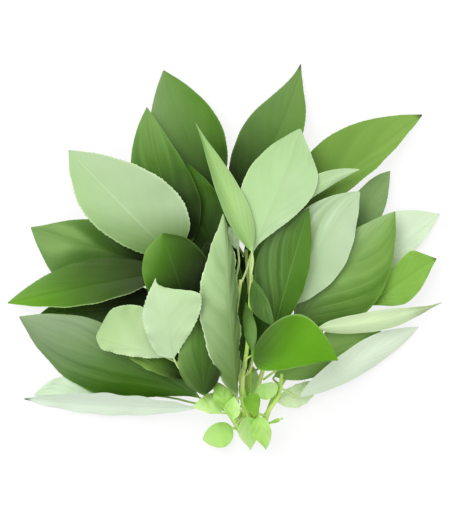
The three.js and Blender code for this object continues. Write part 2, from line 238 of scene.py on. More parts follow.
def bladeCage(rows):
    rowPlaces = np.linspace(0, len(rows) - 1 - cageCells["tipGap"], cageCells["along"] + 1)
    columnPlaces = np.linspace(0, rows.shape[1] - 1, cageCells["across"] + 1)
    return np.array([[smoothThrough(smoothThrough(rows, row), column) for column in columnPlaces]
                     for row in rowPlaces])


def arcShare(points):
    steps = np.linalg.norm(np.diff(points, axis=0), axis=1)
    return np.concatenate([[0], np.cumsum(steps)]) / steps.sum()


def setAttribute(mesh, name, kind, values):
    layer = mesh.attributes.new(name, kind, "POINT")
    field = "vector" if kind == "FLOAT_VECTOR" else "value"
    layer.data.foreach_set(field, np.asarray(values, float).ravel())


def stalkPoints(rings):
    middles = np.array([ring.mean(axis=0) for ring in rings[:stalkRings]])
    places = np.linspace(0, stalkRings - 1, cageCells["stalk"] + 1)
    return [smoothThrough(middles, place) for place in places[:-1]]


def leafSkeleton(nodeName, looks):  # blade cage and rib path in one mesh, with the values its tree reads
    rings, ends = leafRings(nodeName)
    cage = bladeCage(middleRows(rings, ends[1]))
    midrib = cage[:, cageCells["across"] // 2]
    ribPath = np.array(stalkPoints(rings) + list(midrib))
    rowCount, columnCount = cage.shape[:2]
    bladePoints = cage.reshape(-1, 3)
    corners = [i * columnCount + j for i in range(rowCount - 1) for j in range(columnCount - 1)]
    faces = [(c, c + 1, c + columnCount + 1, c + columnCount) for c in corners]
    offset = len(bladePoints)
    edges = [(offset + i, offset + i + 1) for i in range(len(ribPath) - 1)]
    mesh = bpy.data.meshes.new(nodeName + "_skeleton")
    mesh.from_pydata([tuple(p) for p in np.concatenate([bladePoints, ribPath])], edges, faces)

    bladeAlong = arcShare(midrib)
    stalkAlong = np.linspace(stalkFoot, 0, cageCells["stalk"], endpoint=False)
    along = np.concatenate([np.repeat(bladeAlong, columnCount), stalkAlong, bladeAlong])
    across = np.concatenate([np.tile(np.linspace(-1, 1, columnCount), rowCount), np.zeros(len(ribPath))])
    sideways = cage[:, -1] - cage[:, 0]
    sideways /= np.maximum(np.linalg.norm(sideways, axis=1), 1e-9)[:, None]
    outward = np.concatenate([np.repeat(sideways, columnCount, axis=0), np.zeros((len(ribPath), 3))])
    setAttribute(mesh, "along", "FLOAT", along)
    setAttribute(mesh, "across", "FLOAT", across)
    setAttribute(mesh, "outward", "FLOAT_VECTOR", outward)
    setAttribute(mesh, "isRib", "FLOAT", [0] * offset + [1] * len(ribPath))
    for name, value in looks.items():
        setAttribute(mesh, name, "FLOAT", [value] * len(along))
    return mesh


# The blade's tree gives a leaf its veins, teeth, thickness and rib.
bladeSizes = {
    "Vein Pairs": 7.0,
    "Quilt": 0.0002,         # how far the blade swells between its side veins
    "Crease": 0.0004,        # how far the midrib lies below the blade's upper side
    "Undulation": 0.0012,
    "Ripple": 0.0006,
    "Ripple Count": 5.0,
    "Teeth": 34.0,
    "Tooth Depth": 0.0003,
    "Thickness": 0.0004,
    "Stalk Radius": 0.00085,
    "Rib Radius": 0.0006,
    "Rib Tip Radius": 0.00015,
    "Rib Rise": -1.1,        # height of the rib over the blade, in rib radii
}
bladeReaches = {  # where each effect starts and where it is full, from rib to margin or from base to tip
    "swellFromRib": (0.05, 0.35), "swellFromMargin": (1.0, 0.7), "crease": (0.16, 0.0), "teeth": (0.96, 1.0),
    "thickness": (1.05, 0.8), "fromBase": (0.0, 0.12), "fromTip": (1.0, 0.85), "ribRise": (-0.02, 0.1),
    "stalkToRib": (-0.15, 0.12), "ribToTip": (0.1, 0.98),
}
veinBend = 1.2        # power of the side veins' curve towards the tip
rippleBend = 3.0      # power with which the ripple grows towards the margin
ripplePhase = 1.3     # turn by which the right margin's ripple is ahead of the midrib's
toothLean = 1.5       # power of a tooth's slope; above one it leans towards the tip
undulationScale = 28.0
ribSides = 10
bladeSkins = ("Under Finish", "Top Finish", "Rib Finish")  # in the order of the attribute "skin"


def named(tree, name, kind="FLOAT"):
    inputs = {"Name": name}
    return addNode(tree, "GeometryNodeInputNamedAttribute", inputs, data_type=kind).outputs["Attribute"]


def moved(tree, geometry, offset):
    return addNode(tree, "GeometryNodeSetPosition", {"Geometry": geometry, "Offset": offset}).outputs[0]


def veinBeat(tree, along, across, sweep, pairs):  # counts the side veins; the right half is half a step off
    swept = times(tree, calc(tree, "POWER", calc(tree, "ABSOLUTE", across), veinBend), sweep)
    offBeat = times(tree, calc(tree, "GREATER_THAN", across, 0.0), 0.5)
    beat = addTimes(tree, offBeat, calc(tree, "SUBTRACT", along, swept), pairs)
    return beat, calc(tree, "COSINE", times(tree, beat, 2 * math.pi))


def bladeHeight(tree, given, along, across, lengthwise):
    side = calc(tree, "ABSOLUTE", across)
    wave = veinBeat(tree, along, across, named(tree, "sweep"), given["Vein Pairs"])[1]
    swell = addTimes(tree, 0.5, wave, -0.5)
    inside = times(tree, ease(tree, side, *bladeReaches["swellFromRib"]),
                   ease(tree, side, *bladeReaches["swellFromMargin"]))
    quilt = times(tree, swell, inside, lengthwise, given["Quilt"])
    crease = times(tree, ease(tree, side, *bladeReaches["crease"]), lengthwise, given["Crease"])
    relief = times(tree, calc(tree, "SUBTRACT", quilt, crease), given["Upper Side"])
    cloud = noise(tree, {"Scale": undulationScale, "Detail": 1.0, "W": given["Seed"]}, noise_dimensions="4D")
    drift = times(tree, calc(tree, "SUBTRACT", cloud, 0.5), given["Undulation"], lengthwise, 2.0)
    phase = addTimes(tree, given["Seed"], across, ripplePhase)
    turn = addTimes(tree, phase, along, times(tree, given["Ripple Count"], 2 * math.pi))
    ripple = times(tree, calc(tree, "SINE", turn), calc(tree, "POWER", side, rippleBend), given["Ripple"],
                   lengthwise)
    return calc(tree, "ADD", calc(tree, "ADD", relief, drift), ripple)


def toothPush(tree, given, along, across, lengthwise):
    phase = calc(tree, "FRACT", times(tree, along, given["Teeth"]))
    atMargin = ease(tree, calc(tree, "ABSOLUTE", across), *bladeReaches["teeth"])
    push = times(tree, calc(tree, "POWER", phase, toothLean), atMargin, given["Tooth Depth"], lengthwise,
                 calc(tree, "SIGN", across))
    return scaled(tree, named(tree, "outward", "FLOAT_VECTOR"), push)


def markSkin(tree, part, index):
    inputs = {"Geometry": part, "Name": "skin", "Value": float(index)}
    kind = "GeometryNodeStoreNamedAttribute"
    return addNode(tree, kind, inputs, data_type="FLOAT", domain="FACE").outputs[0]


def twoSkins(tree, given, shaped, across, normal):  # they meet in a thin margin
    facesAtEdge = addNode(tree, "GeometryNodeInputMeshEdgeNeighbors").outputs["Face Count"]
    oneFace = calc(tree, "LESS_THAN", facesAtEdge, 1.5)
    onMargin = addNode(tree, "GeometryNodeFieldOnDomain", {0: oneFace}, domain="EDGE",
                       data_type="FLOAT").outputs[0]
    inner = ease(tree, calc(tree, "ABSOLUTE", across), *bladeReaches["thickness"])
    share = times(tree, calc(tree, "LESS_THAN", onMargin, 0.01), inner, 0.5)
    up = scaled(tree, normal, times(tree, share, given["Thickness"]))
    top = moved(tree, shaped, up)
    under = moved(tree, shaped, scaled(tree, up, -1.0))
    flipped = addNode(tree, "GeometryNodeFlipFaces", {"Mesh": under}).outputs[0]
    skins = addNode(tree, "GeometryNodeJoinGeometry")
    for index, part in enumerate((flipped, top)):
        tree.links.new(markSkin(tree, part, index), skins.inputs[0])
    inputs = {"Geometry": skins.outputs[0], "Distance": 1e-6}
    return addNode(tree, "GeometryNodeMergeByDistance", inputs).outputs[0]


def tube(tree, curve, radius, sides):
    profile = addNode(tree, "GeometryNodeCurvePrimitiveCircle", {"Resolution": sides, "Radius": 1.0})
    return addNode(tree, "GeometryNodeCurveToMesh", {
        "Curve": curve, "Profile Curve": profile.outputs["Curve"],
        "Scale": radius, "Fill Caps": True}).outputs[0]


def ribTube(tree, given, along, path):  # stalk and midrib in one taper, most of it under the blade
    rise = times(tree, ease(tree, along, *bladeReaches["ribRise"]), given["Rib Radius"], given["Rib Rise"])
    sunk = moved(tree, path, addNode(tree, "ShaderNodeCombineXYZ", {"Z": rise}).outputs[0])
    curve = addNode(tree, "GeometryNodeMeshToCurve", {"Mesh": sunk}).outputs[0]
    atStalk = ramp(tree, along, *bladeReaches["stalkToRib"], given["Stalk Radius"], given["Rib Radius"])
    radius = ramp(tree, along, *bladeReaches["ribToTip"], atStalk, given["Rib Tip Radius"])
    return markSkin(tree, tube(tree, curve, radius, ribSides), bladeSkins.index("Rib Finish"))


def bladeTree():
    numbers = {**bladeSizes, "Upper Side": 1.0, "Seed": 0.0}
    inputs = [("Geometry", "NodeSocketGeometry", None)]
    inputs += [(label, "NodeSocketFloat", value) for label, value in numbers.items()]
    inputs += [(label, "NodeSocketMaterial", None) for label in bladeSkins]
    tree, given, out = newTree("leafBlade", "GeometryNodeTree", inputs, [("Geometry", "NodeSocketGeometry")])
    along = named(tree, "along")
    across = named(tree, "across")
    isRib = calc(tree, "GREATER_THAN", named(tree, "isRib"), 0.5)
    parts = addNode(tree, "GeometryNodeSeparateGeometry", {"Geometry": given["Geometry"], "Selection": isRib})
    fine = addNode(tree, "GeometryNodeSubdivisionSurface", {"Mesh": parts.outputs["Inverted"], "Level": 2},
                   boundary_smooth="PRESERVE_CORNERS").outputs[0]

    lengthwise = times(tree, ease(tree, along, *bladeReaches["fromBase"]),
                       ease(tree, along, *bladeReaches["fromTip"]))
    normal = addNode(tree, "GeometryNodeInputNormal").outputs["Normal"]
    lift = scaled(tree, normal, bladeHeight(tree, given, along, across, lengthwise))
    teeth = toothPush(tree, given, along, across, lengthwise)
    offset = addNode(tree, "ShaderNodeVectorMath", {0: lift, 1: teeth}, operation="ADD").outputs[0]
    skins = twoSkins(tree, given, moved(tree, fine, offset), across, normal)

    whole = addNode(tree, "GeometryNodeJoinGeometry")
    tree.links.new(skins, whole.inputs[0])
    tree.links.new(ribTube(tree, given, along, parts.outputs["Selection"]), whole.inputs[0])
    smooth = addNode(tree, "GeometryNodeSetShadeSmooth", {"Geometry": whole.outputs[0]}).outputs[0]
    atMargin = calc(tree, "GREATER_THAN", calc(tree, "ABSOLUTE", across), 0.9999)
    crisp = addNode(tree, "GeometryNodeSetShadeSmooth", {
        "Geometry": smooth, "Selection": atMargin, "Shade Smooth": False}, domain="EDGE").outputs[0]
    done = addNode(tree, "GeometryNodeRealizeInstances", {"Geometry": crisp}).outputs[0]
    for index, finish in enumerate(bladeSkins):
        chosen = addNode(tree, "FunctionNodeCompare", {
            0: named(tree, "skin"), 1: float(index), "Epsilon": 0.1}, data_type="FLOAT", operation="EQUAL")
        done = addNode(tree, "GeometryNodeSetMaterial", {
            "Geometry": done, "Selection": chosen.outputs[0], "Material": given[finish]}).outputs[0]
    tree.links.new(done, out.inputs[0])
    return tree


def grow(name, mesh, tree, values):  # runs the tree over the mesh once and keeps the result as a plain mesh
    piece = bpy.data.objects.new(name, mesh)
    bpy.context.scene.collection.objects.link(piece)
    modifier = piece.modifiers.new("grow", "NODES")
    modifier.node_group = tree
    sockets = {item.name: item.identifier for item in tree.interface.items_tree if item.in_out == "INPUT"}
    for label, value in values.items():
        modifier[sockets[label]] = value
    grown = bpy.data.meshes.new_from_object(piece.evaluated_get(bpy.context.evaluated_depsgraph_get()))
    piece.modifiers.clear()
    piece.data = grown
    grown.name = name
    bpy.data.meshes.remove(mesh)
    return piece


finishColours = ("Deep", "Body", "Light", "Vein", "Rim", "Stalk")
patternReaches = {  # where each mark starts and where it is full, from rib to margin or from base to tip
    "leaf": (0.0, 0.04), "veinFromMargin": (1.0, 0.5), "veinFromRib": (0.0, 0.15),
    "veinFromBase": (0.02, 0.15), "tip": (0.25, 1.0), "bandFromRib": (0.0, 0.2), "bandFromTip": (1.1, 0.5),
    "rim": (0.93, 1.0), "ripe": (0.68, 0.84), "burnt": (0.94, 1.0), "stalk": (0.03, -0.05),
}
veinLine = (0.8, 1.0)  # part of the veins' wave that shows as a line
netLine = (0.12, 0.0)  # part of a net cell, from its edge, that shows as a line
patternSizes = {
    "mottle": 0.15, "cloudScale": 40.0,
    "ribWidth": 0.06, "ribTaper": -0.03,  # in half blades: the width at the base and its change to the tip
    "bandsPerVein": 0.6, "cloudInBands": 0.8, "bandContrast": 3.0, "seedStep": 17.3,
    "netScale": 620.0, "netShare": 0.05, "netDepth": 0.3, "veinDepth": 0.6,
    "veinDull": 0.3, "cloudDull": 0.5, "greySaturation": 0.6, "rimInShade": 0.4, "shortestShade": 0.03,
}
warmTint = (1.25, 1.04, 0.5, 1)
coolTint = (0.85, 1.0, 1.3, 1)
burntTip = (0.04, 0.03, 0.01, 1)


def attribute(tree, name):
    return addNode(tree, "ShaderNodeAttribute", attribute_name=name).outputs["Fac"]


def mixColour(tree, share, first, second, mode="MIX"):
    node = addNode(tree, "ShaderNodeMix", data_type="RGBA", blend_type=mode, clamp_factor=True)
    feed(tree, node.inputs[0], share)
    feed(tree, node.inputs[6], first)
    feed(tree, node.inputs[7], second)
    return node.outputs[2]


def tinted(tree, share, ground, tint):
    return mixColour(tree, share, ground, mixColour(tree, 1.0, ground, tint, "MULTIPLY"))


def onHalf(tree, across, name):  # 1 on the half that the attribute names with its sign, or on both if it is 0
    return addTimes(tree, 1.0, calc(tree, "SIGN", across), attribute(tree, name), clamp=True)


def patternVeins(tree, along, across, wave, marked, onLeaf):  # midrib and side veins, 0 to 1
    side = calc(tree, "ABSOLUTE", across)
    fade = times(tree, ease(tree, side, *patternReaches["veinFromMargin"]),
                 ease(tree, side, *patternReaches["veinFromRib"]),
                 ease(tree, along, *patternReaches["veinFromBase"]), marked)
    sideVein = times(tree, ease(tree, wave, *veinLine), fade, attribute(tree, "veins"))
    ribEnd = addTimes(tree, patternSizes["ribWidth"], along, patternSizes["ribTaper"])
    midrib = times(tree, ease(tree, side, ribEnd, 0.0), attribute(tree, "rib"))
    return times(tree, calc(tree, "MAXIMUM", midrib, sideVein), onLeaf)


def patternBands(tree, along, across, beat, cloud, marked):  # irregular bands that run along the veins
    bandPlace = times(tree, beat, patternSizes["bandsPerVein"])
    bandPlace = addTimes(tree, bandPlace, cloud, patternSizes["cloudInBands"])
    seeded = addTimes(tree, bandPlace, attribute(tree, "seed"), patternSizes["seedStep"])
    streak = noise(tree, {"W": seeded, "Scale": 1.0, "Detail": 1.5}, noise_dimensions="1D")
    strength = times(tree, attribute(tree, "streaks"), marked, patternSizes["bandContrast"],
                     ease(tree, calc(tree, "ABSOLUTE", across), *patternReaches["bandFromRib"]),
                     ease(tree, along, *patternReaches["bandFromTip"]))
    return times(tree, calc(tree, "SUBTRACT", streak, 0.5), strength)


def patternLevel(tree, given, along, across, cloud, bands):  # lightness: -1 is deepest, 1 is lightest
    towardsTip = ease(tree, along, *patternReaches["tip"])
    level = addTimes(tree, attribute(tree, "tone"), towardsTip, attribute(tree, "tip"))
    level = addTimes(tree, level, across, attribute(tree, "lean"))
    level = addTimes(tree, level, calc(tree, "SUBTRACT", cloud, 0.5), given["Mottle"])
    return calc(tree, "ADD", level, bands)


def patternGround(tree, given, along, across, level):  # the blade's own colour, before shade and veins
    ground = mixColour(tree, calc(tree, "MULTIPLY", level, 1.0, clamp=True), given["Body"], given["Light"])
    ground = mixColour(tree, calc(tree, "MULTIPLY", level, -1.0, clamp=True), ground, given["Deep"])
    greyShare = addTimes(tree, attribute(tree, "grey"), across, attribute(tree, "greyLean"))
    greyShare = addTimes(tree, greyShare, ease(tree, along, *patternReaches["tip"]),
                         attribute(tree, "greyTip"), clamp=True)
    greyed = addNode(tree, "ShaderNodeHueSaturation", {
        "Saturation": patternSizes["greySaturation"], "Color": ground}).outputs[0]
    ground = mixColour(tree, greyShare, ground, greyed)
    warm = attribute(tree, "warmth")
    ground = tinted(tree, warm, ground, warmTint)
    return tinted(tree, times(tree, warm, -1.0), ground, coolTint)


def leafPatternGroup():
    colour = "NodeSocketColor"
    number = "NodeSocketFloat"
    inputs = [(label, colour, None) for label in finishColours]
    inputs += [("Burnt", colour, burntTip), ("Vein Pairs", number, bladeSizes["Vein Pairs"]),
               ("Mottle", number, patternSizes["mottle"])]
    outputs = [("Colour", colour), ("Dull", number), ("Height", number)]
    tree, given, out = newTree("leafPattern", "ShaderNodeTree", inputs, outputs)
    along = attribute(tree, "along")
    across = attribute(tree, "across")
    side = calc(tree, "ABSOLUTE", across)
    onLeaf = ease(tree, along, *patternReaches["leaf"])
    place = addNode(tree, "ShaderNodeTexCoord").outputs["Object"]
    cloud = noise(tree, {"Vector": place, "Scale": patternSizes["cloudScale"], "Detail": 3.0})
    cells = addNode(tree, "ShaderNodeTexVoronoi", {"Vector": place, "Scale": patternSizes["netScale"]},
                    feature="DISTANCE_TO_EDGE").outputs["Distance"]
    net = times(tree, ease(tree, cells, *netLine), onLeaf)
    beat, wave = veinBeat(tree, along, across, attribute(tree, "sweep"), given["Vein Pairs"])
    marked = onHalf(tree, across, "half")
    veins = patternVeins(tree, along, across, wave, marked, onLeaf)
    bands = patternBands(tree, along, across, beat, cloud, marked)
    level = patternLevel(tree, given, along, across, cloud, bands)
    ground = patternGround(tree, given, along, across, level)

    # Painted shade: towards the stem the blade darkens to its Deep colour, as the leaves above shade it
    # there; lit is the share the painted shade leaves.
    reach = addTimes(tree, attribute(tree, "reach"), across, attribute(tree, "slant"))
    shadeEnd = calc(tree, "MAXIMUM", reach, patternSizes["shortestShade"])
    shade = times(tree, ease(tree, along, shadeEnd, 0.0), attribute(tree, "shade"), onLeaf)
    lit = calc(tree, "SUBTRACT", 1.0, shade)
    # Painted highlight: a pale margin where the edge catches the light, dimmed where the painted shade lies.
    inShade = patternSizes["rimInShade"]
    rim = times(tree, ease(tree, side, *patternReaches["rim"]), onHalf(tree, across, "rimHalf"),
                attribute(tree, "rim"), addTimes(tree, inShade, lit, 1.0 - inShade))
    marks = [  # from the lowest to the topmost
        (shade, given["Deep"]),
        (times(tree, veins, lit), given["Vein"]),
        (times(tree, net, lit, patternSizes["netShare"]), given["Vein"]),
        (rim, given["Rim"]),
        (times(tree, ease(tree, along, *patternReaches["ripe"]), attribute(tree, "ripe")), given["Deep"]),
        (times(tree, ease(tree, along, *patternReaches["burnt"]), attribute(tree, "burn")), given["Burnt"]),
        (ease(tree, along, *patternReaches["stalk"]), given["Stalk"]),
    ]
    for share, paint in marks:
        ground = mixColour(tree, share, ground, paint)
    tree.links.new(ground, out.inputs["Colour"])
    veinDull = times(tree, veins, patternSizes["veinDull"])
    tree.links.new(addTimes(tree, veinDull, cloud, patternSizes["cloudDull"]), out.inputs["Dull"])
    netHeight = times(tree, net, -patternSizes["netDepth"])
    height = addTimes(tree, netHeight, veins, -patternSizes["veinDepth"])
    tree.links.new(height, out.inputs["Height"])
    return tree


def srgb(red, green, blue):  # a colour as painters' programs give it, 0 to 255
    levels = [c / 255 for c in (red, green, blue)]
    return tuple(c / 12.92 if c <= 0.04045 else ((c + 0.055) / 1.055) ** 2.4 for c in levels) + (1.0,)


# Deep is each finish's darkest colour, to which the painted shade towards the stem also darkens; Rim is the
# colour of the painted highlight along the margin.
finishes = {
    "leafUpper": {
        "Deep": srgb(19, 31, 2), "Body": srgb(72, 120, 20), "Light": srgb(147, 191, 97),
        "Vein": srgb(140, 182, 94), "Rim": srgb(118, 168, 62), "Stalk": srgb(186, 214, 120),
        "roughness": (0.5, 0.68), "gloss": 0.14,
    },
    "leafBright": {
        "Deep": srgb(36, 56, 0), "Body": srgb(94, 160, 0), "Light": srgb(146, 200, 68),
        "Vein": srgb(150, 205, 90), "Rim": srgb(190, 224, 140), "Stalk": srgb(196, 226, 120),
        "roughness": (0.46, 0.62), "gloss": 0.25,
    },
    "leafYoung": {
        "Deep": srgb(84, 140, 44), "Body": srgb(160, 206, 112), "Light": srgb(196, 234, 160),
        "Vein": srgb(196, 230, 156), "Rim": srgb(208, 240, 172), "Stalk": srgb(212, 238, 156),
        "roughness": (0.55, 0.7), "gloss": 0.25,
    },
    "leafUnder": {
        "Deep": srgb(90, 124, 48), "Body": srgb(177, 213, 150), "Light": srgb(240, 255, 229),
        "Vein": srgb(216, 238, 196), "Rim": srgb(216, 242, 188), "Stalk": srgb(212, 238, 156),
        "roughness": (0.6, 0.75), "gloss": 0.2,
    },
    "leafPale": {
        "Deep": srgb(116, 132, 44), "Body": srgb(190, 222, 150), "Light": srgb(232, 255, 203),
        "Vein": srgb(222, 244, 196), "Rim": srgb(226, 250, 196), "Stalk": srgb(216, 244, 140),
        "roughness": (0.6, 0.75), "gloss": 0.2,
    },
    "leafShoot": {
        "Deep": srgb(90, 150, 10), "Body": srgb(180, 236, 106), "Light": srgb(230, 253, 188),
        "Vein": srgb(214, 248, 160), "Rim": srgb(216, 248, 156), "Stalk": srgb(216, 244, 140),
        "roughness": (0.5, 0.66), "gloss": 0.25,
    },
}


leafRelief = {"Distance": 0.00015, "Strength": 0.5}
stemGrain = {
    "cloudScale": 60.0, "fibreScale": 900.0, "blotch": (0.35, 0.7), "roughness": (0.4, 0.6),
    "relief": {"Distance": 0.0001, "Strength": 0.2},
    "light": srgb(238, 255, 158), "dark": srgb(208, 252, 112),
}


def freshMaterial(name):
    material = bpy.data.materials.new(name)
    material.use_nodes = True
    return material, material.node_tree, material.node_tree.nodes["Principled BSDF"].inputs


def roughen(tree, shader, height, relief):
    bump = addNode(tree, "ShaderNodeBump", {"Height": height, **relief}).outputs["Normal"]
    tree.links.new(bump, shader["Normal"])


def leafMaterial(name, finish, pattern):
    material, tree, shader = freshMaterial(name)
    surface = addNode(tree, "ShaderNodeGroup", node_tree=pattern)
    for label in finishColours:
        surface.inputs[label].default_value = finish[label]
    shader["Specular IOR Level"].default_value = finish["gloss"]
    tree.links.new(surface.outputs["Colour"], shader["Base Color"])
    tree.links.new(ramp(tree, surface.outputs["Dull"], 0.0, 1.0, *finish["roughness"]), shader["Roughness"])
    roughen(tree, shader, surface.outputs["Height"], leafRelief)
    return material


def stemMaterial(name):
    material, tree, shader = freshMaterial(name)
    place = addNode(tree, "ShaderNodeTexCoord").outputs["Object"]
    cloud = noise(tree, {"Vector": place, "Scale": stemGrain["cloudScale"], "Detail": 3.0})
    blotch = ease(tree, cloud, *stemGrain["blotch"])
    tree.links.new(mixColour(tree, blotch, stemGrain["dark"], stemGrain["light"]), shader["Base Color"])
    tree.links.new(ramp(tree, cloud, 0.0, 1.0, *stemGrain["roughness"]), shader["Roughness"])
    fibre = noise(tree, {"Vector": place, "Scale": stemGrain["fibreScale"], "Detail": 2.0})
    roughen(tree, shader, fibre, stemGrain["relief"])
    return material


pattern = leafPatternGroup()
materials = {name: leafMaterial(name, finish, pattern) for name, finish in finishes.items()}
materials["stemSkin"] = stemMaterial("stemSkin")
print("finishes made:", len(materials))
